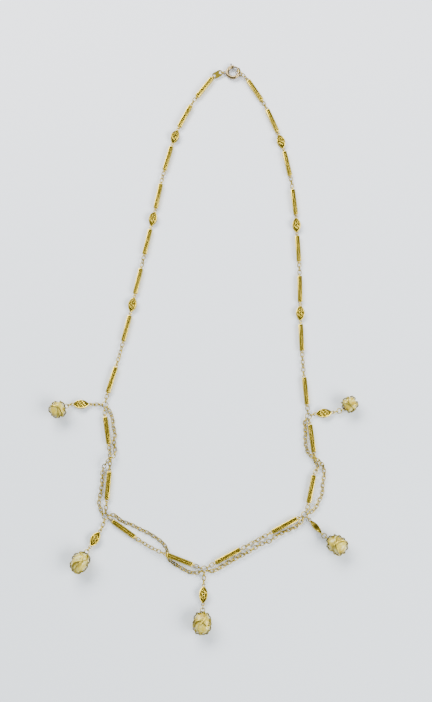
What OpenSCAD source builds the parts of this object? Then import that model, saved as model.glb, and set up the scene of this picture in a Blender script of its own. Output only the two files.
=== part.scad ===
// Festoon necklace: bar links, pierced ovals, five nugget drops and loose swags of cable chain.
// It lies closed on a flat surface, clasp at +Y, middle drop at -Y. Millimetres, Z up.

/* [Bar links] */
// length of a bar link's body
bar_len = 10.8; // [9:0.1:13]
// width of a bar link's body
bar_w = 1.9; // [1.5:0.05:2.4]
// height of a bar link's body
bar_h = 1.6; // [1.2:0.05:1.6]
// bevel along a bar's long edges
bar_bevel = 0.3; // [0.1:0.05:0.4]
// width of the sunk groove between a bar's two rails
groove_w = 0.9; // [0.5:0.05:1.1]
// depth of the sunk groove
groove_d = 0.3; // [0.1:0.05:0.4]
// length of the block that closes the groove at each end
cap_len = 0.5; // [0.3:0.05:1]

/* [Pierced ovals] */
// length of a pierced oval without its eyes
oval_len = 6.2; // [5.5:0.1:7]
// width of a pierced oval
oval_w = 3.2; // [2.6:0.1:3.4]
// height of a pierced oval
oval_h = 1.7; // [1.2:0.1:1.7]
// radius of the top and bottom, which curve along the oval
oval_dome = 7; // [6:0.5:12]
// radius of the hole in the middle
hole_mid = 0.42; // [0.2:0.02:0.5]
// radius of the two holes near the tips
hole_end = 0.3; // [0.15:0.02:0.35]
// radius of the four holes beside the middle one
hole_side = 0.27; // [0.15:0.02:0.3]

/* [Links, eyes and rings] */
// outer length of a chain link
link_len = 2.35; // [2.3:0.01:2.5]
// outer width of a chain link
link_w = 1.7; // [1.6:0.01:1.8]
// thickness of a chain link's wire
link_wire = 0.34; // [0.3:0.01:0.38]
// centre line radius of the eye on a bar or an oval
eye_r = 0.55; // [0.5:0.01:0.6]
// thickness of an eye's wire
eye_wire = 0.32; // [0.28:0.01:0.36]
// centre line radius of a station ring
station_r = 1.2; // [1.1:0.05:1.4]
// thickness of a station ring's wire
station_wire = 0.34; // [0.3:0.01:0.4]
// centre line radius of the ring that holds a nugget's cage
drop_ring_r = 0.95; // [0.9:0.01:1.2]
// thickness of that ring's wire
drop_ring_wire = 0.34; // [0.3:0.01:0.38]
// distance between the wire centres of two interlocked pieces
grip = 0.47; // [0.46:0.01:0.5]
// longest step of a swag chain's links
swag_step = 1.47; // [1.35:0.01:1.5]

/* [Nuggets and cages] */
// thickness of a cage's wire
cage_wire = 0.5; // [0.4:0.05:0.6]
// gap between a nugget and its cage
cage_gap = 0.15; // [0.12:0.01:0.3]
// centre line radius of a cage's eye
cage_eye_r = 0.8; // [0.7:0.01:0.85]
// thickness of a cage's eye
cage_eye_wire = 0.36; // [0.3:0.01:0.4]
// how far below the nugget's middle the cage's eye sits, as an angle
eye_down = 32; // [20:1:40]

/* [Clasp] */
// centre line radius of the bolt ring
clasp_r = 2.475; // [2.3:0.025:2.7]
// thickness of the bolt ring's tube
clasp_tube = 1.45; // [1.3:0.05:1.6]
// bore of the bolt ring's tube
clasp_bore = 0.86; // [0.7:0.02:0.9]
// thickness of the sprung bolt
bolt_d = 0.66; // [0.5:0.02:0.7]
// angle that the bolt slides back to open the ring
bolt_travel = 50; // [0:1:50]
// thickness of the clasp's jump rings
clasp_wire = 0.33; // [0.3:0.01:0.4]
// length of the flat end tag
tag_len = 4.8; // [4.6:0.1:5.2]
// width of the end tag
tag_w = 2.6; // [2.2:0.1:3]
// thickness of the end tag
tag_t = 0.4; // [0.3:0.05:0.5]
// radius of the end tag's two holes
tag_hole = 0.6; // [0.5:0.01:0.62]

/* [Hidden] */
$fn = 32;

// moves the laid-out necklace so that its box is centred on Z
shift = [0.38, -0.15, 0];
// height of the middle of bars, ovals and station rings
mid_z = 0.87;
// distance from a bar's end, and from an oval's tip, to its eye's centre
bar_neck = 0.5;
oval_neck = 0.45;
// distances between the joints at the two ends of each piece
link_pitch = link_len - link_wire - grip;
bar_pitch = bar_len + 2 * (bar_neck + eye_r) - grip;
oval_pitch = oval_len + 2 * (oval_neck + eye_r) - grip;
drop_ring_pitch = 2 * drop_ring_r - grip;
tag_pitch = 3.9;
// how far a chain link clears the surface
lift_off = 0.02;
// half the distance across a link's wire centres
link_r = (link_w - link_wire) / 2;
// distance from a station ring's centre to each joint on it
hub = station_r - grip / 2;
// most that a link leans out of its turn, and how much of it each link takes up
lean = 36;
lean_links = 3;

// kinds of piece in a row
LINK = 0;
BAR = 1;
OVAL = 2;
TAG = 3;
RING = 4;

// columns: kind, heading, roll of its first eye, roll of its last eye, links after it, z of its two ends
left_rows = [
    [BAR, 233, 90, 90, 2, mid_z, mid_z],
    [BAR, 243, 0, 90, 0, mid_z, mid_z],
    [OVAL, 251, 0, 0, 0, mid_z, mid_z],
    [BAR, 255, 90, 90, 3, mid_z, mid_z],
    [BAR, 259, 90, 90, 0, mid_z, mid_z],
    [OVAL, 257, 0, 0, 0, mid_z, mid_z],
    [BAR, 258, 90, 90, 3, mid_z, mid_z],
    [BAR, 258, 90, 90, 0, mid_z, mid_z],
    [OVAL, 258, 0, 0, 0, mid_z, mid_z],
    [BAR, 257, 90, 90, 6, mid_z, mid_z],
    [BAR, 254, 0, 90, 2, mid_z, mid_z]];
right_rows = [
    [BAR, -58, 0, 90, 2, mid_z, mid_z],
    [BAR, -67, 0, 90, 0, mid_z, mid_z],
    [OVAL, -73, 0, 0, 0, mid_z, mid_z],
    [BAR, -78, 90, 90, 3, mid_z, mid_z],
    [BAR, -84, 90, 90, 0, mid_z, mid_z],
    [OVAL, -88, 0, 0, 0, mid_z, mid_z],
    [BAR, -87, 90, 90, 3, mid_z, mid_z],
    [BAR, -90, 90, 90, 0, mid_z, mid_z],
    [OVAL, -90, 0, 0, 0, mid_z, mid_z],
    [BAR, -88, 90, 90, 6, mid_z, mid_z],
    [BAR, -85, 0, 90, 2, mid_z, mid_z]];
// lower sections: the same columns, between two stations
over_swag = 2.9;
section_1 = [[BAR, -81, 90, 90, 6, mid_z, mid_z], [BAR, -94, 0, 0, 3, mid_z, mid_z]];
section_2 = [[BAR, -35, 0, 90, 8, mid_z, mid_z], [BAR, -21, 0, 90, 2, over_swag, mid_z]];
section_3 = [[BAR, 28, 90, 90, 8, mid_z, mid_z], [BAR, 28, 0, 0, 1, mid_z, mid_z]];
bar_up = [[BAR, 78, 90, 90, 0, mid_z, mid_z]];
bar_down = [[BAR, -83, 0, 0, 0, mid_z, mid_z]];

// clasp: centre, and how far its right side is tipped up by the ring that passes under it
clasp_at = [11.7, 113.2, 1.02];
clasp_tip = 5;

// height of a rolled link's middle when its lowest edge is on the surface
function lie(roll) = lift_off + link_wire / 2 + link_r * max(abs(sin(roll)), abs(cos(roll)));
function along(heading, pitch, rise) =
    let (flat = sqrt(pitch * pitch - rise * rise)) [flat * cos(heading), flat * sin(heading), rise];
// links turn in even steps near a right angle from one end's roll to the other's, and lean in the middle
function turn(n, r0, r1) = (r1 - r0 + 180 * round(((n + 1) * 90 - r1 + r0) / 180)) / (n + 1);
function leaning(k, n) = n < 3 ? 0 : lean * min(1, (k + 1) / lean_links, (n - k) / lean_links);
function link_roll(k, n, r0, r1) = r0 + (k + 1) * turn(n, r0, r1) + leaning(k, n);
function lying(k, n, r0, r1) = (lie(link_roll(k - 1, n, r0, r1)) + lie(link_roll(k, n, r0, r1))) / 2;
function joint_z(k, n, r0, r1, z0, z1) =
    k == 0 ? z0 : k == n ? z1 : max(lying(k, n, r0, r1), z0 + (z1 - z0) * k / n);
// a piece of a walk: kind, heading, pitch, rise, roll, first eye's roll, last eye's roll
function links(n, h0, h1, r0, r1, z0, z1) = n == 0 ? [] : [
    for (k = [0:n - 1])
        [LINK, h0 + (h1 - h0) * (k + 1) / (n + 1), link_pitch,
         joint_z(k + 1, n, r0, r1, z0, z1) - joint_z(k, n, r0, r1, z0, z1), link_roll(k, n, r0, r1), 0, 0]];
function piece(r) = [r[0], r[1], r[0] == BAR ? bar_pitch : oval_pitch, r[6] - r[5], 0, r[2], r[3]];
function next(rows, i, column, last) = i + 1 < len(rows) ? rows[i + 1][column] : last;
// all pieces of a row: the links before it, its bars and ovals, and the links after each
function row_of(rows, n, h0, r0, z0, h1, r1) = concat(
    links(n, h0, rows[0][1], r0, rows[0][2], z0, rows[0][5]),
    [for (i = [0:len(rows) - 1]) let (r = rows[i])
        for (p = concat([piece(r)], links(r[4], r[1], next(rows, i, 1, h1), r[3], next(rows, i, 2, r1),
                                          r[6], next(rows, i, 5, mid_z)))) p]);
function walk(items, at, i = 0) = i == len(items) ? [at] :
    concat([at], walk(items, at + along(items[i][1], items[i][2], items[i][3]), i + 1));
function last(list) = list[len(list) - 1];
function of_kind(items, kind) = [for (i = [0:len(items) - 1]) if (items[i][0] == kind) i];

// left side: jump ring, tag, then bars and ovals down to the first station
ring_left_r = 0.8;
ring_left_roll = 66;
eye_left_r = 0.58;
eye_left = clasp_r + clasp_tube / 2 + 0.5;
eye_left_joint = eye_left + eye_left_r - grip / 2;
eye_left_z = clasp_at.z - eye_left_joint * sin(clasp_tip);
tag_z = 1.2;
left_items = concat(
    [[RING, 187, 2 * ring_left_r - grip, tag_z - eye_left_z, ring_left_roll, 0, 0],
     [TAG, 209, tag_pitch, mid_z - tag_z, -15, 0, 0]],
    row_of(left_rows, 0, 209, 0, mid_z, 262, 0));
left_from = [clasp_at.x - eye_left_joint * cos(clasp_tip), clasp_at.y, eye_left_z];
left_pts = walk(left_items, left_from);
// right side: a jump ring round the bolt ring's tube, two links, then bars and ovals
ring_right_r = 1.4;
ring_right_at = 2.55;
ring_right_heading = -19;
ring_right_roll = 78;
ring_right_z = clasp_wire / 2 + ring_right_r * sin(ring_right_roll);
right_from = [clasp_at.x, clasp_at.y, ring_right_z]
    + along(ring_right_heading, ring_right_at + ring_right_r - grip / 2, 0);
right_items = row_of(right_rows, 2, ring_right_heading, ring_right_roll, ring_right_z, -85, 0);
right_pts = walk(right_items, right_from);

// stations and the lower sections between them
station_1 = last(left_pts) + along(262, hub, 0);
station_5 = last(right_pts) + along(-85, hub, 0);
items_1 = row_of(section_1, 2, -95, 0, mid_z, -95, 0);
pts_1 = walk(items_1, station_1 + along(-95, hub, 0));
station_2 = last(pts_1) + along(-95, hub, 0);
items_2 = row_of(section_2, 1, -30, 0, mid_z, -20, 0);
pts_2 = walk(items_2, station_2 + along(-30, hub, 0));
station_3 = last(pts_2) + along(-20, hub, 0);
items_3 = row_of(section_3, 2, 30, 0, mid_z, 25, 0);
pts_3 = walk(items_3, station_3 + along(30, hub, 0));
station_4 = last(pts_3) + along(25, hub, 0);
items_up = row_of(bar_up, 2, 62, 0, mid_z, 78, 0);
pts_up = walk(items_up, station_4 + along(62, hub, 0));
items_down = row_of(bar_down, 1, -78, 0, mid_z, -83, 0);
pts_down = walk(items_down, station_5 + along(-78, hub, 0));
stations = [station_1, station_2, station_3, station_4, station_5];

// swags: station and direction that they leave and reach, then waypoints x, y, z
low = 0.6;
swag_ends = [[station_1, -50, station_2, 150], [station_2, 15, station_3, 215],
             [station_3, -30, station_4, 250], [station_5, -125, station_4, 8]];
swag_ways = [
    [[-37.8, -31.4, low], [-36.4, -34.5, low], [-36, -38, low], [-35.2, -41, low], [-35.6, -44, low],
     [-35, -47, low], [-35.4, -49.5, 1.6], [-37.4, -51.6, 2.75], [-39.2, -53.8, 1.7], [-39.8, -56.5, low],
     [-39.9, -60.5, low], [-40.4, -64.5, low], [-40.9, -68, low]],
    [[-34.7, -72.4, low], [-32, -74.6, low], [-28.3, -75.9, low], [-25, -77.6, low], [-21.5, -79.2, low],
     [-18.4, -81.1, low], [-15.9, -83, low], [-14.4, -85.4, low], [-14.1, -88, low], [-12.4, -90.2, low],
     [-9.5, -91.9, low], [-6.2, -93.7, low], [-3.2, -94.2, low]],
    [[3.6, -93.4, low], [7.8, -91.2, low], [12, -88.8, low], [15.5, -87, low], [18.6, -85.2, low],
     [22, -83.2, low], [25.2, -82.2, low], [28, -80, low], [31.5, -78.4, low], [35, -76.9, low],
     [37, -75.2, low]],
    [[39.3, -36, low], [39.5, -40, low], [39.4, -44, low], [39.9, -47, low], [41, -49.4, 1.7],
     [42.9, -50.8, 2.75], [44.9, -51.9, 1.8], [46.2, -53.8, low], [46.5, -57, low], [45.8, -60.5, low],
     [45.6, -64, low], [44.2, -67, low], [42.6, -70, low]]];
// slack chain between the two bars of the fourth section
slack_ways = [[44.1, -54, low], [43.5, -52.3, low], [42.9, -50.7, low], [42.8, -49.1, low]];

function bend(a, b, c, d, t) = (2 * b + (c - a) * t + (2 * a - 5 * b + 4 * c - d) * t * t
    + (3 * b - a - 3 * c + d) * t * t * t) / 2;
smooth_steps = 8;
function smooth(p) = concat([for (i = [0:len(p) - 2]) for (j = [0:smooth_steps - 1])
    bend(p[max(i - 1, 0)], p[i], p[i + 1], p[min(i + 2, len(p) - 1)], j / smooth_steps)], [last(p)]);
function lengths(p, i = 0, s = 0) = i == len(p) - 1 ? [s] :
    concat([s], lengths(p, i + 1, s + norm(p[i + 1] - p[i])));
function column(s, p, c) = [for (i = [0:len(p) - 1]) [s[i], p[i][c]]];
function spaced(p, step) = let (s = lengths(p), n = ceil(last(s) / step)) [for (k = [0:n])
    [for (c = [0:2]) lookup(last(s) * k / n, column(s, p, c))]];
// keeps each link on or above the surface, whatever its roll
function settled(p, r0, r1) = let (n = len(p) - 1) [for (k = [0:n])
    [p[k].x, p[k].y, k == 0 || k == n ? p[k].z : max(p[k].z, lying(k, n, r0, r1))]];
function swag_pts(i) = let (e = swag_ends[i]) settled(spaced(smooth(concat(
    [e[0] + along(e[1], hub, 0)], swag_ways[i], [e[2] + along(e[3], hub, 0)])), swag_step), 0, 0);
slack_pts = settled(spaced(smooth(concat([last(pts_up)], slack_ways, [last(pts_down)])), swag_step), 90, 0);

// drops: station, direction that it leaves, links, oval's heading, its own roll, heights of its two ends,
// small links below it, heading below it, nugget's heading
drops = [
    [station_1, 178, 3, 180, 0, mid_z, 1.15, 0, 205, 208],
    [station_2, 262, 3, 239, 0, mid_z, 1.15, 0, 238, 240],
    [station_3, 268, 3, 268, 0, mid_z, 1.15, 0, 266, 268],
    [station_4, 316, 1, 311, 90, 1.45, 1.75, 0, 320, 325],
    [station_5, 30, 1, 5, 0, mid_z, 1.15, 1, 18, 33]];
// nuggets: length, width and height, grain of the surface, turn of the two crossing wires, their waves
nuggets = [
    [5.6, 5.7, 5.2, 20, 70, 110, 2],
    [7.9, 5.9, 5.6, 75, 25, 150, 3],
    [8.2, 5.7, 5.6, 140, 95, 165, 3],
    [7, 6.4, 5.7, 215, 60, 120, 2],
    [5.1, 5, 4.9, 300, 80, 125, 2]];

function unit(v) = v / norm(v);
// nugget's surface in direction d, grown outwards
function rough(d, seed) = 1 + 0.05 * sin(160 * d.x + seed) + 0.04 * sin(200 * d.y + 2 * seed)
    + 0.03 * sin(170 * d.z - seed);
boxiness = 2.5;
function block(d) = pow(pow(abs(d.x), boxiness) + pow(abs(d.y), boxiness) + pow(abs(d.z), boxiness),
    -1 / boxiness);
function skin(i, d, grow) = let (s = nuggets[i], p = [s[0] * d.x, s[1] * d.y, s[2] * d.z] / 2
    * block(d) * rough(d, s[3])) p + grow * unit(p);
wire_out = cage_gap + cage_wire / 2;
// paths of a cage's wires on the nugget's skin: one round the outline, two over the top
wire_steps = 40;
scallops = [6, 7, 7, 6, 6];
function outline_dir(i, t) = unit([cos(t), sin(t), -tan(eye_down) * cos(scallops[i] * t)]);
function over_dir(a, waves, t) = unit([cos(a) * cos(t), sin(a) * cos(t), sin(t)]
    + 0.25 * sin(waves * t + 60) * [-sin(a), cos(a), 0]);
function outline_path(i) = [for (k = [0:wire_steps - 1])
    skin(i, outline_dir(i, 360 * k / wire_steps), wire_out)];
function over_path(i, a) = [for (k = [0:wire_steps - 1])
    skin(i, over_dir(a, nuggets[i][6], 360 * k / wire_steps), wire_out)];
// the nugget's middle is as high as its cage needs to stand on the surface
nugget_z = [for (i = [0:4]) cage_wire / 2
    - min([for (p = concat(outline_path(i), over_path(i, nuggets[i][4]), over_path(i, nuggets[i][5]))) p.z])];
eye_dir = unit([1, 0, -tan(eye_down)]);
function eye_at(i) = skin(i, eye_dir, wire_out) + [cage_eye_r, 0, 0];
function hold_z(i) = nugget_z[i] + eye_at(i).z;
function drop_items(i) = let (d = drops[i], lift = (hold_z(i) - d[6]) / (d[7] + 1)) concat(
    links(d[2], d[1], d[3], 0, 0, mid_z, d[5]),
    [[OVAL, d[3], oval_pitch, d[6] - d[5], d[4], 0, d[4]]],
    links(d[7], d[3], d[8], d[4], d[4] + 180, d[6], d[6] + lift * d[7]),
    [[RING, d[8], drop_ring_pitch, lift, d[4] + 90 * (d[7] + 1), 0, 0]]);
function drop_pts(i) = walk(drop_items(i), drops[i][0] + along(drops[i][1], hub, 0));

module place(a, b, roll = 0) {
    d = b - a;
    translate((a + b) / 2)
        rotate([roll, -atan2(d.z, norm([d.x, d.y])), atan2(d.y, d.x)])
            children();
}

module ring(r, wire) {
    rotate_extrude() translate([r, 0]) circle(d = wire);
}

module link() {
    reach = (link_len - link_w) / 2;
    for (s = [-1, 1]) {
        translate([s * reach, 0, 0])
            rotate([0, 0, -90 * s])
                rotate_extrude(angle = 180) translate([link_r, 0]) circle(d = link_wire);
        translate([0, s * link_r, 0])
            rotate([0, 90, 0])
                cylinder(d = link_wire, h = 2 * reach, center = true);
    }
}

module eyes(out, roll_first, roll_last) {
    translate([-out, 0, 0]) rotate([roll_first, 0, 0]) ring(eye_r, eye_wire);
    translate([out, 0, 0]) rotate([roll_last, 0, 0]) ring(eye_r, eye_wire);
}

module bar_section() {
    x = bar_w / 2;
    y = bar_h / 2;
    polygon([[x, y - bar_bevel], [x - bar_bevel, y], [bar_bevel - x, y], [-x, y - bar_bevel],
             [-x, bar_bevel - y], [bar_bevel - x, -y], [x - bar_bevel, -y], [x, bar_bevel - y]]);
}

module bar(roll_first, roll_last) {
    color("goldenrod") {
        difference() {
            rotate([90, 0, 90]) linear_extrude(height = bar_len, center = true) bar_section();
            for (s = [-1, 1])
                translate([0, 0, s * bar_h / 2])
                    cube([bar_len - 2 * cap_len, groove_w, 2 * groove_d], center = true);
        }
        eyes(bar_len / 2 + bar_neck, roll_first, roll_last);
    }
}

module oval(roll, roll_first, roll_last) {
    arc = (oval_len * oval_len / 4 + oval_w * oval_w / 4) / oval_w;
    end_at = 0.22 * oval_len;
    side_at = [0.13 * oval_len, 0.25 * oval_w];
    color("goldenrod") {
        rotate([roll, 0, 0]) {
            difference() {
                intersection() {
                    linear_extrude(height = oval_h, center = true)
                        intersection() {
                            translate([0, oval_w / 2 - arc]) circle(r = arc);
                            translate([0, arc - oval_w / 2]) circle(r = arc);
                        }
                    translate([0, 0, oval_h / 2 - oval_dome])
                        rotate([90, 0, 0]) cylinder(r = oval_dome, h = 2 * oval_w, center = true);
                    translate([0, 0, oval_dome - oval_h / 2])
                        rotate([90, 0, 0]) cylinder(r = oval_dome, h = 2 * oval_w, center = true);
                }
                cylinder(r = hole_mid, h = 2 * oval_h, center = true);
                for (s = [-1, 1]) {
                    translate([s * end_at, 0, 0])
                        cylinder(r = hole_end, h = 2 * oval_h, center = true);
                    for (t = [-1, 1])
                        translate([s * side_at.x, t * side_at.y, 0])
                            cylinder(r = hole_side, h = 2 * oval_h, center = true);
                }
            }
        }
        eyes(oval_len / 2 + oval_neck, roll_first, roll_last);
    }
}

module pieces(items, pts, kind) {
    for (i = of_kind(items, kind))
        place(pts[i], pts[i + 1], items[i][4]) link();
}

module bar_of(items, pts, n) {
    i = of_kind(items, BAR)[n - 1];
    translate(shift) place(pts[i], pts[i + 1]) bar(items[i][5], items[i][6]);
}

module oval_of(items, pts, n) {
    i = of_kind(items, OVAL)[n - 1];
    translate(shift)
        place(pts[i], pts[i + 1]) oval(items[i][4], items[i][5], items[i][6]);
}

module left_bar(n) bar_of(left_items, left_pts, n);
module right_bar(n) bar_of(right_items, right_pts, n);
module left_oval(n) oval_of(left_items, left_pts, n);
module right_oval(n) oval_of(right_items, right_pts, n);
module drop_oval(n) oval_of(drop_items(n - 1), drop_pts(n - 1), 1);

module front_bar(n) {
    if (n < 3) bar_of(items_1, pts_1, n);
    else if (n < 5) bar_of(items_2, pts_2, n - 2);
    else if (n < 7) bar_of(items_3, pts_3, n - 4);
    else if (n == 7) bar_of(items_up, pts_up, 1);
    else bar_of(items_down, pts_down, 1);
}

module chain(pts, roll_first, roll_last) {
    n = len(pts) - 1;
    for (k = [0:n - 1])
        place(pts[k], pts[k + 1], link_roll(k, n, roll_first, roll_last)) link();
}

module swag_chain(n) {
    color("gold") translate(shift) chain(swag_pts(n - 1), 0, 0);
}

module mid_chain(n) {
    color("gold") translate(shift) {
        if (n == 1) pieces(items_1, pts_1, LINK);
        if (n == 2) pieces(items_2, pts_2, LINK);
        if (n == 3) pieces(items_3, pts_3, LINK);
        if (n == 4) {
            pieces(items_up, pts_up, LINK);
            pieces(items_down, pts_down, LINK);
            chain(slack_pts, 90, 0);
        }
    }
}

module left_links() {
    color("gold") translate(shift) {
        pieces(left_items, left_pts, LINK);
        place(left_pts[0], left_pts[1], left_items[0][4]) ring(ring_left_r, clasp_wire);
    }
}

module right_links() {
    color("gold") translate(shift) {
        pieces(right_items, right_pts, LINK);
        translate([clasp_at.x, clasp_at.y, ring_right_z] + along(ring_right_heading, ring_right_at, 0))
            rotate([ring_right_roll, 0, ring_right_heading])
                ring(ring_right_r, clasp_wire);
    }
}

module jump_rings() {
    color("gold") translate(shift) {
        for (s = stations)
            translate(s) ring(station_r, station_wire);
        for (i = [0:4]) {
            items = drop_items(i);
            pts = drop_pts(i);
            pieces(items, pts, LINK);
            k = len(items) - 1;
            place(pts[k], pts[k + 1], items[k][4]) ring(drop_ring_r, drop_ring_wire);
        }
    }
}

// sets a nugget's own frame, X towards its eye, at the end of its drop
module at_drop(n) {
    i = n - 1;
    e = eye_at(i) + [cage_eye_r - grip / 2, 0, 0];
    p = last(drop_pts(i));
    translate(shift + [p.x, p.y, nugget_z[i]])
        rotate([0, 0, drops[i][9] + 180])
            translate([-e.x, 0, 0])
                children();
}

lat_steps = 7;
lon_steps = 12;
function ball_dir(a, b) = [cos(a) * cos(b), cos(a) * sin(b), sin(a)];
module stone(n) {
    i = n - 1;
    body = [for (j = [1:lat_steps]) for (k = [0:lon_steps - 1])
        skin(i, ball_dir(-90 + 180 * j / (lat_steps + 1), 360 * k / lon_steps), 0)];
    bottom = len(body);
    top = bottom + 1;
    upper = (lat_steps - 1) * lon_steps;
    function near(k) = (k + 1) % lon_steps;
    color("khaki") at_drop(n)
        polyhedron(
            concat(body, [skin(i, [0, 0, -1], 0), skin(i, [0, 0, 1], 0)]),
            concat(
                [for (k = [0:lon_steps - 1]) [bottom, k, near(k)]],
                [for (k = [0:lon_steps - 1]) [top, upper + near(k), upper + k]],
                [for (j = [0:lat_steps - 2]) for (k = [0:lon_steps - 1])
                    [j * lon_steps + k, (j + 1) * lon_steps + k, j * lon_steps + near(k)]],
                [for (j = [0:lat_steps - 2]) for (k = [0:lon_steps - 1])
                    [(j + 1) * lon_steps + k, (j + 1) * lon_steps + near(k), j * lon_steps + near(k)]]));
}

wire_sides = 6;
// a closed wire: a ring of points round each point of its path, joined to the next ring
module wire(path) {
    n = len(path);
    pts = [for (i = [0:n - 1])
        let (a = unit(path[(i + 1) % n] - path[(i + n - 1) % n]), out = unit(path[i]),
             u = unit(cross(a, out)), v = cross(a, u))
        for (k = [0:wire_sides - 1]) path[i] + cage_wire / 2 * (cos(360 * k / wire_sides) * u
            + sin(360 * k / wire_sides) * v)];
    function id(i, k) = (i % n) * wire_sides + k % wire_sides;
    polyhedron(pts, concat(
        [for (i = [0:n - 1]) for (k = [0:wire_sides - 1]) [id(i, k), id(i + 1, k), id(i, k + 1)]],
        [for (i = [0:n - 1]) for (k = [0:wire_sides - 1]) [id(i + 1, k), id(i + 1, k + 1), id(i, k + 1)]]));
}

module stone_cage(n) {
    i = n - 1;
    color("goldenrod") at_drop(n) {
        wire(outline_path(i));
        wire(over_path(i, nuggets[i][4]));
        wire(over_path(i, nuggets[i][5]));
        translate(eye_at(i)) rotate([drops[i][4] + 90 * drops[i][7], 0, 0]) ring(cage_eye_r, cage_eye_wire);
    }
}

// bolt ring, its frame on the clasp's centre: gap from 35 to 85 degrees, bolt's bore beyond it
gap_from = 35;
gap_to = 85;
bolt_from = 30;
bolt_to = 125;
nub_at = 104;
nub_stem_r = 0.2;
nub_out = 1.3;
nub_r = 0.36;
slot_w = 0.6;
slot_spare = 6;
bore_spare = 3;
module arc(from, to, r, d) {
    rotate([0, 0, from]) rotate_extrude(angle = to - from) translate([r, 0]) circle(d = d);
}

module at_clasp() {
    translate(shift + clasp_at) rotate([0, -clasp_tip, 0]) children();
}

module clasp_ring() {
    color("goldenrod") at_clasp() {
        difference() {
            arc(gap_to, gap_from + 360, clasp_r, clasp_tube);
            arc(gap_to - 1, bolt_to + bolt_travel + bore_spare, clasp_r, clasp_bore);
            arc(bolt_from - bore_spare, gap_from + 1, clasp_r, clasp_bore);
            rotate([0, 0, nub_at - slot_spare])
                rotate_extrude(angle = bolt_travel + 2 * slot_spare)
                    translate([clasp_r, -slot_w / 2]) square([clasp_tube, slot_w]);
        }
        translate([-eye_left, 0, 0]) ring(eye_left_r, clasp_wire);
    }
}

module clasp_trigger() {
    color("gold") at_clasp() {
        arc(bolt_from, bolt_to, clasp_r, bolt_d);
        rotate([0, 0, nub_at]) {
            translate([clasp_r, 0, 0]) rotate([0, 90, 0]) cylinder(r = nub_stem_r, h = nub_out);
            translate([clasp_r + nub_out, 0, 0]) sphere(r = nub_r);
        }
    }
}

module end_tag() {
    reach = (tag_len - tag_w) / 2;
    tag_hole_at = 1.5;
    color("goldenrod") translate(shift)
        place(left_pts[1], left_pts[2], left_items[1][4])
            difference() {
                union() {
                    for (s = [-1, 1])
                        translate([s * reach, 0, 0]) cylinder(d = tag_w, h = tag_t, center = true);
                    cube([2 * reach, tag_w, tag_t], center = true);
                }
                for (s = [-1, 1])
                    translate([s * tag_hole_at, 0, 0]) cylinder(r = tag_hole, h = 2 * tag_t, center = true);
            }
}

for (i = [1:8]) {
    left_bar(i);
    right_bar(i);
    front_bar(i);
}
for (i = [1:3]) {
    left_oval(i);
    right_oval(i);
}
for (i = [1:5]) {
    drop_oval(i);
    stone(i);
    stone_cage(i);
}
for (i = [1:4]) {
    swag_chain(i);
    mid_chain(i);
}
clasp_ring();
clasp_trigger();
end_tag();
left_links();
right_links();
jump_rings();
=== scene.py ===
from math import atan2, cos, pi, radians, sin, tan

import bmesh
import bpy
from mathutils import Matrix, Vector


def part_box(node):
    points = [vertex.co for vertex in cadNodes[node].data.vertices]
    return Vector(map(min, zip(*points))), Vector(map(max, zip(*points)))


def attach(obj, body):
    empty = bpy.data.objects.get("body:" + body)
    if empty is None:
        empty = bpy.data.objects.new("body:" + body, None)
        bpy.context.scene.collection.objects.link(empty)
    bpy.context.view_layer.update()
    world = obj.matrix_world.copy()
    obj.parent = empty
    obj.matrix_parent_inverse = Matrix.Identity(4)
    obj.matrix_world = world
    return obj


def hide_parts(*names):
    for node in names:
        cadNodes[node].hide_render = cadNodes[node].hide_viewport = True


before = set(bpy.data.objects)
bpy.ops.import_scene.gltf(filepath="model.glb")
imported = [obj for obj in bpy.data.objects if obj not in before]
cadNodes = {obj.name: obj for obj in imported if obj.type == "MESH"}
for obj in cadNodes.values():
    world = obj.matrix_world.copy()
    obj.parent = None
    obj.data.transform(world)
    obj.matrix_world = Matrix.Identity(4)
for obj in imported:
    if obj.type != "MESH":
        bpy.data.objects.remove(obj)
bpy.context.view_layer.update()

mm = 0.001
print("frame loaded:", len(cadNodes), "pieces")


# a shader socket that can be added, scaled and mixed like a number
class Flow:
    def __init__(self, tree, socket=None):
        self.tree = tree
        self.socket = socket

    def feed(self, target, value):
        if isinstance(value, Flow):
            self.tree.links.new(value.socket, target)
        else:
            target.default_value = value

    def make(self, kind, inputs=None, settings=None, out=0):
        node = self.tree.nodes.new("ShaderNode" + kind)
        for key, value in (settings or {}).items():
            setattr(node, key, value)
        for key, value in (inputs or {}).items():
            self.feed(node.inputs[key], value)
        return Flow(self.tree, node.outputs[out])

    def math(self, operation, *values):
        return self.make("Math", dict(enumerate(values)), {"operation": operation})

    def __add__(self, other):
        return self.math("ADD", self, other)

    def __radd__(self, other):
        return self.math("ADD", other, self)

    def __mul__(self, other):
        return self.math("MULTIPLY", self, other)

    def clamp(self):
        return self.make("Clamp", {"Value": self})

    def band(self, low, high):
        return self.make("MapRange", {"Value": self, "From Min": low, "From Max": high})

    # colour a where this is 0, colour b where it is 1
    def blend(self, a, b):
        node = self.tree.nodes.new("ShaderNodeMix")
        node.data_type = "RGBA"
        factor, first, second, result = 0, 6, 7, 2
        self.feed(node.inputs[factor], self)
        self.feed(node.inputs[first], a)
        self.feed(node.inputs[second], b)
        return Flow(self.tree, node.outputs[result])


# an empty material, with a flow for its nodes, its shader, and Object coordinates
def newMaterial(name):
    material = bpy.data.materials.new(name)
    material.use_nodes = True
    flow = Flow(material.node_tree)
    surface = material.node_tree.nodes["Principled BSDF"]
    objectPlace = 3
    place = flow.make("TexCoord", out=objectPlace)
    return material, flow, surface, place


def noise(flow, place, scale, detail, roughness):
    return flow.make("TexNoise", {"Vector": place, "Scale": scale, "Detail": detail, "Roughness": roughness})


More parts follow.
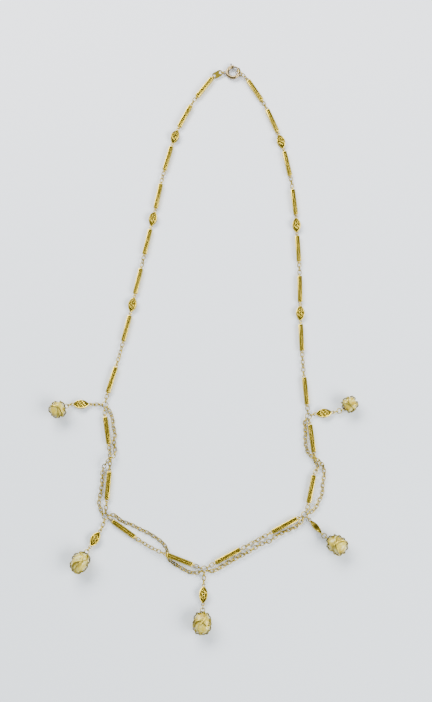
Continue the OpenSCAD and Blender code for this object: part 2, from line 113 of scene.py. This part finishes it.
# gold-coloured alloy: bright where it is rubbed, dull where it is tarnished, and these bright and dull
# patches also stand in as painted reflections; painted shade takes it to a near-black shade colour wherever
# the vertices carry painted shade
metalLooks = {
    "railGold": {
        "bright": (0.66, 0.49, 0.06, 1), "dull": (0.20, 0.145, 0.01, 1), "shadeColour": (0.012, 0.008, 0.001, 1),
        "roughness": 0.2, "tarnishAndSheenShare": 0.4, "grain": 0.10},
    "piercedGold": {
        "bright": (0.58, 0.43, 0.05, 1), "dull": (0.18, 0.13, 0.01, 1), "shadeColour": (0.016, 0.011, 0.001, 1),
        "roughness": 0.24, "tarnishAndSheenShare": 0.45, "grain": 0.14},
    "chainGold": {
        "bright": (0.46, 0.34, 0.04, 1), "dull": (0.13, 0.092, 0.006, 1), "shadeColour": (0.02, 0.014, 0.001, 1),
        "roughness": 0.34, "tarnishAndSheenShare": 0.7, "grain": 0.10},
    "claspGold": {
        "bright": (0.32, 0.235, 0.11, 1), "dull": (0.07, 0.05, 0.024, 1), "shadeColour": (0.02, 0.014, 0.007, 1),
        "roughness": 0.2, "tarnishAndSheenShare": 0.7, "grain": 0.08},
    "cageGold": {
        "bright": (0.52, 0.41, 0.06, 1), "dull": (0.24, 0.18, 0.02, 1), "shadeColour": (0.035, 0.026, 0.004, 1),
        "roughness": 0.28, "tarnishAndSheenShare": 0.5, "grain": 0.10},
}
# noise in the metals: scale, detail and roughness, then the band of it that is used
metalNoise = {
    "patches": (260, 4, 0.6), "patchBand": (0.42, 0.68), "specks": (1900, 3, 0.6), "speckBand": (0.45, 0.75),
    "grain": (3200, 4, 0.65), "speckShare": 0.5, "tarnishAndSheenRoughness": 0.22, "shadeRoughness": 0.2,
    "bumpDepth": 0.12 * mm,
}


def metalMaterial(name):
    look = metalLooks[name]
    material, flow, surface, place = newMaterial(name)
    patches = noise(flow, place, *metalNoise["patches"]).band(*metalNoise["patchBand"])
    specks = noise(flow, place, *metalNoise["specks"]).band(*metalNoise["speckBand"])
    factorOut = 2
    # painted shade, read from the vertices, where grooves, beads, leaves and outline wires are darkened
    shadeMask = flow.make("Attribute", settings={"attribute_name": "painted_shade"}, out=factorOut)
    # tarnish and wear, whose bright and dull patches also stand in as painted reflections on the metal
    tarnishAndSheen = (patches * look["tarnishAndSheenShare"] + specks * look["tarnishAndSheenShare"] * metalNoise["speckShare"]).clamp()
    colour = shadeMask.blend(tarnishAndSheen.blend(look["bright"], look["dull"]), look["shadeColour"])
    flow.feed(surface.inputs["Base Color"], colour)
    roughness = look["roughness"] + tarnishAndSheen * metalNoise["tarnishAndSheenRoughness"] + shadeMask * metalNoise["shadeRoughness"]
    flow.feed(surface.inputs["Roughness"], roughness)
    surface.inputs["Metallic"].default_value = 1
    grain = noise(flow, place, *metalNoise["grain"])
    depth = metalNoise["bumpDepth"]
    bump = flow.make("Bump", {"Strength": look["grain"], "Distance": depth, "Height": grain})
    flow.feed(surface.inputs["Normal"], bump)
    return material


# pale tumbled stone: cream and yellow clouds, whitish veins, darker pits
stoneLook = {
    "cream": (0.47, 0.38, 0.035, 1), "yellow": (0.40, 0.27, 0.0, 1), "white": (0.62, 0.58, 0.19, 1),
    "amber": (0.12, 0.075, 0.0, 1), "veinShare": 0.55, "pitShare": 0.6,
    "roughness": 0.32, "cloudRoughness": 0.12, "pitRoughness": 0.3,
    "glow": 0.15, "glowReach": 1.2 * mm, "glowColour": (1.0, 0.85, 0.4), "bend": 1.54,
    "coat": 0.2, "coatRoughness": 0.08, "bumpStrength": 0.45, "bumpDepth": 0.3 * mm,
}
# noise in the stone: scale, detail and roughness, then the band of it that is used
stoneNoise = {
    "warp": (320, 4, 0.6), "clouds": (240, 5, 0.62), "cloudBand": (0.40, 0.62),
    "pale": (430, 4, 0.55), "paleBand": (0.50, 0.66), "pits": (1500, 3, 0.5), "pitBand": (0.62, 0.74),
    "skin": (700, 5, 0.6), "veinScale": 95, "veinDistortion": 9, "veinDetail": 4, "veinDetailScale": 1.6,
    "veinWarp": 0.35, "veinBand": (1.02, 1.30), "pitDepth": -0.4, "veinHeight": 0.25,
}


def stoneMaterial():
    look, grain = stoneLook, stoneNoise
    material, flow, surface, place = newMaterial("tumbledStone")
    warp = noise(flow, place, *grain["warp"])
    clouds = noise(flow, place, *grain["clouds"]).band(*grain["cloudBand"])
    pale = noise(flow, place, *grain["pale"]).band(*grain["paleBand"])
    lines = flow.make("TexWave", {
        "Vector": place, "Scale": grain["veinScale"], "Distortion": grain["veinDistortion"],
        "Detail": grain["veinDetail"], "Detail Scale": grain["veinDetailScale"]})
    veins = (lines + warp * grain["veinWarp"]).band(*grain["veinBand"])
    pits = noise(flow, place, *grain["pits"]).band(*grain["pitBand"])
    colour = clouds.blend(look["cream"], look["yellow"])
    colour = pale.blend(colour, look["white"])
    colour = (veins * look["veinShare"]).blend(colour, look["white"])
    colour = (pits * look["pitShare"]).blend(colour, look["amber"])
    flow.feed(surface.inputs["Base Color"], colour)
    roughness = look["roughness"] + clouds * look["cloudRoughness"] + pits * look["pitRoughness"]
    flow.feed(surface.inputs["Roughness"], roughness)
    surface.inputs["Subsurface Weight"].default_value = look["glow"]
    surface.inputs["Subsurface Scale"].default_value = look["glowReach"]
    surface.inputs["Subsurface Radius"].default_value = look["glowColour"]
    surface.inputs["IOR"].default_value = look["bend"]
    surface.inputs["Coat Weight"].default_value = look["coat"]
    surface.inputs["Coat Roughness"].default_value = look["coatRoughness"]
    height = noise(flow, place, *grain["skin"]) + pits * grain["pitDepth"] + lines * grain["veinHeight"]
    strength, depth = look["bumpStrength"], look["bumpDepth"]
    bump = flow.make("Bump", {"Strength": strength, "Distance": depth, "Height": height})
    flow.feed(surface.inputs["Normal"], bump)
    return material


materials = {name: metalMaterial(name) for name in metalLooks}
materials["tumbledStone"] = stoneMaterial()
print("materials made:", len(materials))


# a finished piece that stands for a CAD node; edges past the sharp angle stay crisp
def finishPiece(name, bm, node, material, sharpAngle=35):
    for face in bm.faces:
        face.smooth = True
    for edge in bm.edges:
        edge.smooth = len(edge.link_faces) == 2 and edge.calc_face_angle(0) < radians(sharpAngle)
    mesh = bpy.data.meshes.new(name)
    bm.to_mesh(mesh)
    bm.free()
    mesh.materials.append(materials[material])
    piece = bpy.data.objects.new(name, mesh)
    bpy.context.scene.collection.objects.link(piece)
    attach(piece, "necklace")
    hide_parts(node)


def mergedCopy(node):
    bm = bmesh.new()
    bm.from_mesh(cadNodes[node].data)
    bmesh.ops.remove_doubles(bm, verts=bm.verts, dist=0.0005 * mm)
    return bm


# a long piece's own frame, from its CAD node: X from its first eye to its last, Y level, Z up
frameSpec = {"rounds": 4, "endDepth": 0.02}


def longFrame(node):
    points = [v.co.copy() for v in cadNodes[node].data.vertices]
    low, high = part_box(node)
    diagonals = [Vector((high.x - low.x, hand * (high.y - low.y), 0)).normalized() for hand in (1, -1)]

    def reach(way):
        spread = [way.dot(p) for p in points]
        return max(spread) - min(spread)

    axis = max(diagonals, key=reach)
    for step in range(frameSpec["rounds"]):
        ends = []
        for side in (1, -1):
            far = max(side * axis.dot(p) for p in points)
            near = [p for p in points if side * axis.dot(p) > far - frameSpec["endDepth"] * mm]
            ends.append(sum(near, Vector()) / len(near))
        axis = (ends[0] - ends[1]).normalized()
    level = Vector((0, 0, 1)).cross(axis).normalized()
    up = axis.cross(level)
    place = Matrix((axis, level, up)).transposed().to_4x4()
    place.translation = (ends[0] + ends[1]) / 2
    return place, points


# whether the eye at one end stands upright
def eyeUpright(place, points, side, start):
    local = place.inverted()
    tip = [local @ p for p in points]
    tip = [p for p in tip if side * p.x > start]
    height = max(p.z for p in tip) - min(p.z for p in tip)
    width = max(p.y for p in tip) - min(p.y for p in tip)
    return height > width


# a closed ring of round wire in the XY plane of its place
def addRing(bm, radius, wire, place, sides=14, steps=36):
    start = place @ Matrix.Translation((radius, 0, 0)) @ Matrix.Rotation(pi / 2, 4, "X")
    ring = bmesh.ops.create_circle(bm, segments=sides, radius=wire / 2, matrix=start)["verts"]
    edges = {edge for vert in ring for edge in vert.link_edges}
    turned = place.to_3x3() @ Vector((0, 0, 1))
    bmesh.ops.spin(bm, geom=ring + list(edges), cent=place.translation, axis=turned, angle=2 * pi,
                   steps=steps, use_merge=True)


# a plain ring whose vertices are then bent into another closed wire: where each lies round the ring,
# and how far out of its centre line it lies and how high, both from -1 to 1
plainRing = {"radius": 1, "wire": 0.1}


def unbentRing(bm, sides, steps):
    start = len(bm.verts)
    addRing(bm, plainRing["radius"], plainRing["wire"], Matrix.Identity(4), sides, steps)
    bm.verts.ensure_lookup_table()
    half = plainRing["wire"] / 2
    for vert in bm.verts[start:]:
        x, y, z = vert.co
        yield vert, atan2(y, x), ((x ** 2 + y ** 2) ** 0.5 - plainRing["radius"]) / half, z / half


def addEyes(bm, spec, place, points):
    away = (spec["length"] / 2 + spec["neck"]) * mm
    for side in (-1, 1):
        centre = place @ Matrix.Translation((side * away, 0, 0))
        if eyeUpright(place, points, side, away):
            centre = centre @ Matrix.Rotation(pi / 2, 4, "X")
        addRing(bm, spec["eyeRadius"] * mm, spec["eyeWire"] * mm, centre)


# bar links: two rails with a row of slanted beads set into the groove between them, above and below; the
# groove floor and the beads get painted shade, with a painted highlight towards the beads' tops
barSpec = {
    "length": 10.8, "width": 1.9, "height": 1.6, "bevel": 0.3, "groove": 0.9, "depth": 0.32, "lip": 0.07,
    "beadStep": 0.47, "beadSize": (0.20, 0.40, 0.22), "beadTurn": 24, "beadUp": 0.47, "beadEnds": 0.8,
    "floorShade": 1, "beadShade": 0.9, "beadTopLight": 0.6,
    "neck": 0.5, "eyeRadius": 0.55, "eyeWire": 0.32,
}


def addBeads(bm, spec, painted_shade):
    count = int((spec["length"] - 2 * spec["bevel"] - spec["beadEnds"]) / spec["beadStep"])
    bead = Matrix.Diagonal([s * mm for s in spec["beadSize"]] + [1])
    turn = Matrix.Rotation(radians(spec["beadTurn"]), 4, "Z")
    for side in (-1, 1):
        for k in range(count):
            x = (k - (count - 1) / 2) * spec["beadStep"] * mm
            seat = Matrix.Translation((x, 0, side * spec["beadUp"] * mm))
            made = bmesh.ops.create_icosphere(bm, subdivisions=2, radius=1, matrix=seat @ turn @ bead)
            for vert in made["verts"]:
                # painted shade on each bead, less of it towards the top as a painted highlight
                rise = (abs(vert.co.z) / mm - spec["beadUp"]) / spec["beadSize"][2]
                vert[painted_shade] = spec["beadShade"] - spec["beadTopLight"] * max(0, rise)


def makeBar(node):
    spec = barSpec
    place, points = longFrame(node)
    bm = bmesh.new()
    painted_shade = bm.verts.layers.float.new("painted_shade")
    size = Matrix.Diagonal((spec["length"] * mm, spec["width"] * mm, spec["height"] * mm, 1))
    bmesh.ops.create_cube(bm, size=1, matrix=size)
    bmesh.ops.bevel(bm, geom=bm.edges[:], offset=spec["bevel"] * mm, offset_type="OFFSET", segments=3,
                    profile=0.5, affect="EDGES", material=-1)
    level, smallest = 0.999, 5 * mm * mm
    tops = [f for f in bm.faces if abs(f.normal.z) > level and f.calc_area() > smallest]
    rim = (spec["width"] - spec["groove"]) / 2 - spec["bevel"]
    bmesh.ops.inset_individual(bm, faces=tops, thickness=rim * mm, use_even_offset=True)
    lip = {edge for face in tops for edge in face.edges}
    bmesh.ops.inset_individual(bm, faces=tops, thickness=spec["lip"] * mm, depth=-spec["depth"] * mm,
                               use_even_offset=True)
    # painted shade over the groove floor
    for face in tops:
        for vert in face.verts:
            vert[painted_shade] = spec["floorShade"]
    bmesh.ops.bevel(bm, geom=list(lip), offset=spec["lip"] * mm, offset_type="OFFSET", segments=2,
                    profile=0.5, affect="EDGES", material=-1)
    addBeads(bm, spec, painted_shade)
    bmesh.ops.transform(bm, matrix=place, verts=bm.verts)
    addEyes(bm, spec, place, points)
    bmesh.ops.recalc_face_normals(bm, faces=bm.faces)
    finishPiece("grooved_" + node, bm, node, "railGold")


barNodes = [n for n in cadNodes if "_bar_" in n]
for name in barNodes:
    makeBar(name)
print("bar links:", len(barNodes))


# pierced ovals: a domed leaf with wires round its rim and holes and small grains between them;
# holes are given as x, y and radius, grains as x and y
ovalSpec = {
    "length": 6.2, "width": 3.2, "height": 1.7, "dome": 7, "plainEnd": 0.2, "shade": 0.9,
    "holes": ((0, 0, 0.42), (1.36, 0, 0.3), (-1.36, 0, 0.3), (0.81, 0.8, 0.27), (0.81, -0.8, 0.27),
              (-0.81, 0.8, 0.27), (-0.81, -0.8, 0.27)),
    "wire": 0.25, "wireOut": 0.03, "wireDown": 0.02, "wireSides": 8, "wireSteps": 20,
    "rimWire": 0.32, "rimShare": 0.96, "rimIn": 0.08, "rimDown": 0.06, "rimSides": 8, "rimSteps": 64,
    "grain": 0.16,
    "grains": ((0.48, 0.36), (0.48, -0.36), (-0.48, 0.36), (-0.48, -0.36),
               (0, 0.95), (0, -0.95), (2, 0), (-2, 0),
               (1.5, 0.55), (1.5, -0.55), (-1.5, 0.55), (-1.5, -0.55),
               (0.4, 1.15), (0.4, -1.15), (-0.4, 1.15), (-0.4, -1.15)),
    "onEdge": "drop_oval_4",
}


def domeHeight(spec, x):
    return (spec["dome"] ** 2 - x * x) ** 0.5 - spec["dome"] + spec["height"] / 2


def addHoleWires(bm, spec, place):
    for side in (-1, 1):
        for x, y, r in spec["holes"]:
            z = side * (domeHeight(spec, x) - spec["wireDown"])
            slope = Matrix.Rotation(side * x / spec["dome"], 4, "Y")
            seat = place @ Matrix.Translation((x * mm, y * mm, z * mm)) @ slope
            radius = (r + spec["wireOut"]) * mm
            addRing(bm, radius, spec["wire"] * mm, seat, spec["wireSides"], spec["wireSteps"])


# a wire follows the leaf's outline along the upper and the lower edge
def addRimWires(bm, spec, place):
    arc = (spec["length"] ** 2 + spec["width"] ** 2) / 4 / spec["width"]
    up = Vector((0, 0, 1))
    for side in (-1, 1):
        for vert, t, out, rise in unbentRing(bm, spec["rimSides"], spec["rimSteps"]):
            x = spec["length"] / 2 * spec["rimShare"] * cos(t)
            edge = spec["width"] / 2 - arc + (arc * arc - x * x) ** 0.5
            hand = 1 if sin(t) >= 0 else -1
            outward = Vector((x / arc, hand * (1 - (x / arc) ** 2) ** 0.5, 0))
            y = hand * max(edge - spec["rimIn"], 0)
            centre = Vector((x, y, side * (domeHeight(spec, x) - spec["rimDown"])))
            vert.co = place @ ((centre + spec["rimWire"] / 2 * (out * outward + rise * up)) * mm)


def addGrains(bm, spec, place):
    for side in (-1, 1):
        for x, y in spec["grains"]:
            z = side * domeHeight(spec, x)
            seat = place @ Matrix.Translation((x * mm, y * mm, z * mm))
            bmesh.ops.create_icosphere(bm, subdivisions=2, radius=spec["grain"] * mm, matrix=seat)


# the leaf and its eyes are the CAD solid, so the holes stay cut through; all of it but the ends gets painted
# shade
def makeOval(node):
    spec = ovalSpec
    place, points = longFrame(node)
    if node == spec["onEdge"]:
        place = place @ Matrix.Rotation(pi / 2, 4, "X")
    bm = mergedCopy(node)
    painted_shade = bm.verts.layers.float.new("painted_shade")
    local = place.inverted()
    # painted shade over the leaf but its ends; the added wires and grains get none
    for vert in bm.verts:
        inside = abs((local @ vert.co).x) / mm < spec["length"] / 2 - spec["plainEnd"]
        vert[painted_shade] = spec["shade"] if inside else 0
    addHoleWires(bm, spec, place)
    addRimWires(bm, spec, place)
    addGrains(bm, spec, place)
    bmesh.ops.recalc_face_normals(bm, faces=bm.faces)
    finishPiece("filigree_" + node, bm, node, "piercedGold")


ovalNodes = [n for n in cadNodes if "_oval_" in n]
for name in ovalNodes:
    makeOval(name)
print("pierced ovals:", len(ovalNodes))


# nuggets: length, width and height, grain of the skin, turns of the two crossing wires, their waves,
# lobes of the wire round the outline, heading, and roll of the cage's eye
nuggetSpec = {
    "stone_1": {"size": (5.6, 5.7, 5.2), "grain": 20, "turns": (70, 110), "waves": 2, "lobes": 6,
                "heading": 208, "eyeRoll": 0},
    "stone_2": {"size": (7.9, 5.9, 5.6), "grain": 75, "turns": (25, 150), "waves": 3, "lobes": 7,
                "heading": 240, "eyeRoll": 0},
    "stone_3": {"size": (8.2, 5.7, 5.6), "grain": 140, "turns": (95, 165), "waves": 3, "lobes": 7,
                "heading": 268, "eyeRoll": 0},
    "stone_4": {"size": (7.0, 6.4, 5.7), "grain": 215, "turns": (60, 120), "waves": 2, "lobes": 6,
                "heading": 325, "eyeRoll": 90},
    "stone_5": {"size": (5.1, 5.0, 4.9), "grain": 300, "turns": (80, 125), "waves": 2, "lobes": 6,
                "heading": 33, "eyeRoll": 90},
}
# the skin that CAD and scene share, then the scene's own chips and dents, which lie just inside it
skinSpec = {"boxiness": 2.5, "latitudes": 8, "longitudes": 12, "chip": 0.05, "dent": 0.03, "inside": 0.02}
cageSpec = {
    "wire": 0.5, "gap": 0.15, "eyeRadius": 0.8, "eyeWire": 0.36, "eyeDown": 32, "sides": 12, "steps": 132,
    "ahead": 0.01, "wave": 0.25, "waveStart": 60, "outlineShade": 0.6, "sharpAngle": 60,
}


def degSin(angle):
    return sin(radians(angle))


def degCos(angle):
    return cos(radians(angle))


def skin(stone, d, grow=0.0):
    grain, power = stone["grain"], skinSpec["boxiness"]
    rough = (1 + 0.05 * degSin(160 * d.x + grain) + 0.04 * degSin(200 * d.y + 2 * grain)
             + 0.03 * degSin(170 * d.z - grain))
    block = (abs(d.x) ** power + abs(d.y) ** power + abs(d.z) ** power) ** (-1 / power)
    p = Vector([s * c / 2 * block * rough for s, c in zip(stone["size"], d)])
    return p + grow * p.normalized()


# the nugget's frame: its plain CAD skin, turned to its heading, is laid over the CAD node's box
def nuggetFrame(name):
    stone = nuggetSpec[name]
    turn = Matrix.Rotation(radians(stone["heading"] + 180), 4, "Z")
    ways = [Vector((0, 0, 1)), Vector((0, 0, -1))]
    for j in range(1, skinSpec["latitudes"]):
        a = -90 + 180 * j / skinSpec["latitudes"]
        for k in range(skinSpec["longitudes"]):
            b = 360 / skinSpec["longitudes"] * k
            ways.append(Vector((degCos(a) * degCos(b), degCos(a) * degSin(b), degSin(a))))
    points = [turn @ skin(stone, d) for d in ways]
    low = Vector([min(p[c] for p in points) for c in range(3)])
    return Matrix.Translation(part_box(name)[0] - low * mm) @ turn


def makeNugget(name):
    stone = nuggetSpec[name]
    place = nuggetFrame(name)
    bm = bmesh.new()
    bmesh.ops.create_icosphere(bm, subdivisions=6, radius=1)
    grain = stone["grain"]
    for vert in bm.verts:
        d = vert.co.normalized()
        chips = skinSpec["chip"] * sin(7.1 * d.x + 5.3 * d.y + grain) * sin(6.2 * d.z - 4.4 * d.x + grain)
        dents = skinSpec["dent"] * sin(17 * d.x + 2 * grain) * sin(15 * d.y - grain) * sin(16 * d.z + grain)
        vert.co = place @ (skin(stone, d, chips + dents - skinSpec["inside"]) * mm)
    allSmooth = 180
    finishPiece("nugget_" + name[-1], bm, name, "tumbledStone", allSmooth)


# a closed wire along a path round the nugget, carrying the given painted shade
def bendWire(bm, path, place, shade):
    painted_shade = bm.verts.layers.float["painted_shade"]
    for vert, t, out, rise in unbentRing(bm, cageSpec["sides"], cageSpec["steps"]):
        centre = path(t)
        ahead = (path(t + cageSpec["ahead"]) - path(t - cageSpec["ahead"])).normalized()
        side = ahead.cross(centre).normalized()
        outward = side.cross(ahead)
        vert.co = place @ ((centre + cageSpec["wire"] / 2 * (out * outward + rise * side)) * mm)
        vert[painted_shade] = shade


def makeCage(name):
    stone = nuggetSpec[name]
    place = nuggetFrame(name)
    grow = cageSpec["gap"] + cageSpec["wire"] / 2
    down = tan(radians(cageSpec["eyeDown"]))
    bm = bmesh.new()
    bm.verts.layers.float.new("painted_shade")

    def outline(t):
        return skin(stone, Vector((cos(t), sin(t), -down * cos(stone["lobes"] * t))).normalized(), grow)

    # painted shade on the outline wire; the crossing wires get none and stay bright
    bendWire(bm, outline, place, cageSpec["outlineShade"])
    for turn in stone["turns"]:
        a = radians(turn)

        def crossing(t, a=a):
            wave = cageSpec["wave"] * sin(stone["waves"] * t + radians(cageSpec["waveStart"]))
            d = Vector((cos(a) * cos(t) - wave * sin(a), sin(a) * cos(t) + wave * cos(a), sin(t)))
            return skin(stone, d.normalized(), grow)

        bendWire(bm, crossing, place, 0)
    eye = skin(stone, Vector((1, 0, -down)).normalized(), grow) + Vector((cageSpec["eyeRadius"], 0, 0))
    seat = place @ Matrix.Translation(eye * mm) @ Matrix.Rotation(radians(stone["eyeRoll"]), 4, "X")
    addRing(bm, cageSpec["eyeRadius"] * mm, cageSpec["eyeWire"] * mm, seat)
    bmesh.ops.recalc_face_normals(bm, faces=bm.faces)
    finishPiece("wire_cage_" + name[-1], bm, "stone_cage_" + name[-1], "cageGold",
                cageSpec["sharpAngle"])


for name in nuggetSpec:
    makeNugget(name)
    makeCage(name)
print("nuggets and cages:", len(nuggetSpec))


# chains, rings and clasp keep their CAD solids, which get their finish here
plainFinishes = {
    "swag_chain": "chainGold", "mid_chain": "chainGold", "left_links": "chainGold",
    "right_links": "chainGold", "jump_rings": "chainGold", "clasp": "claspGold", "end_tag": "chainGold",
}
finished = 0
for name, node in cadNodes.items():
    for start, finish in plainFinishes.items():
        if name.startswith(start):
            finished += 1
            for holder in node.material_slots:
                holder.material = materials[finish]
print("chains, rings and clasp:", finished)


# pale blue-grey table with painted light on it: lighter towards the back, darker and a shade bluer towards
# the front; the painted light changes between two places along Y
tableLook = {"back": (0.79, 0.805, 0.85, 1), "front": (0.70, 0.74, 0.78, 1), "size": 3.0, "squares": 8,
             "paintedLightFrom": -0.05, "paintedLightTo": 0.12, "roughness": 0.6}


def makeTable():
    look = tableLook
    bm = bmesh.new()
    bmesh.ops.create_grid(bm, x_segments=look["squares"], y_segments=look["squares"], size=look["size"] / 2)
    mesh = bpy.data.meshes.new("table")
    bm.to_mesh(mesh)
    bm.free()
    table = bpy.data.objects.new("table", mesh)
    bpy.context.scene.collection.objects.link(table)
    material, flow, surface, place = newMaterial("paleTable")
    alongY = 1
    # painted light: the table's colour goes from the darker front to the lighter back
    depth = flow.make("SeparateXYZ", {"Vector": place}, out=alongY).band(look["paintedLightFrom"], look["paintedLightTo"])
    flow.feed(surface.inputs["Base Color"], depth.blend(look["front"], look["back"]))
    surface.inputs["Roughness"].default_value = look["roughness"]
    mesh.materials.append(material)


# soft daylight from a window behind on the left, a fill from the front on the right; metres and watts
lightSpec = {
    "worldColour": (0.80, 0.88, 0.95, 1), "worldStrength": 0.62,
    "window": {"size": (1.2, 0.5), "power": 34.0, "at": (-0.45, 0.75, 0.75), "towards": (0, 0.03, 0)},
    "fill": {"size": (1.0, 0.5), "power": 25.0, "at": (0.8, -0.35, 0.65), "towards": (0, 0, 0)},
}


def addLight(name):
    spec = lightSpec[name]
    light = bpy.data.lights.new(name, "AREA")
    light.shape = "RECTANGLE"
    light.size, light.size_y = spec["size"]
    light.energy = spec["power"]
    lamp = bpy.data.objects.new(name, light)
    lamp.location = spec["at"]
    lamp.rotation_euler = (Vector(spec["towards"]) - Vector(spec["at"])).to_track_quat("-Z", "Y").to_euler()
    bpy.context.scene.collection.objects.link(lamp)


def makeLights():
    world = bpy.data.worlds.new("softRoom")
    bpy.context.scene.world = world
    world.use_nodes = True
    background = world.node_tree.nodes["Background"]
    background.inputs["Color"].default_value = lightSpec["worldColour"]
    background.inputs["Strength"].default_value = lightSpec["worldStrength"]
    addLight("window")
    addLight("fill")


# the photo's view: nearly straight down, in millimetres and degrees
cameraSpec = {"target": (4.78, -7.65, 0), "distance": 400, "tilt": 12, "lens": 51.28, "sensor": 36}


def makeCamera():
    data = bpy.data.cameras.new("camera")
    data.lens = cameraSpec["lens"]
    data.sensor_width = cameraSpec["sensor"]
    camera = bpy.data.objects.new("camera", data)
    tilt = radians(cameraSpec["tilt"])
    offset = Vector((0, -sin(tilt), cos(tilt))) * cameraSpec["distance"]
    camera.location = (Vector(cameraSpec["target"]) + offset) * mm
    camera.rotation_euler = (tilt, 0, 0)
    bpy.context.scene.collection.objects.link(camera)
    bpy.context.scene.camera = camera


makeTable()
makeLights()
makeCamera()
print("table, lights and camera set")
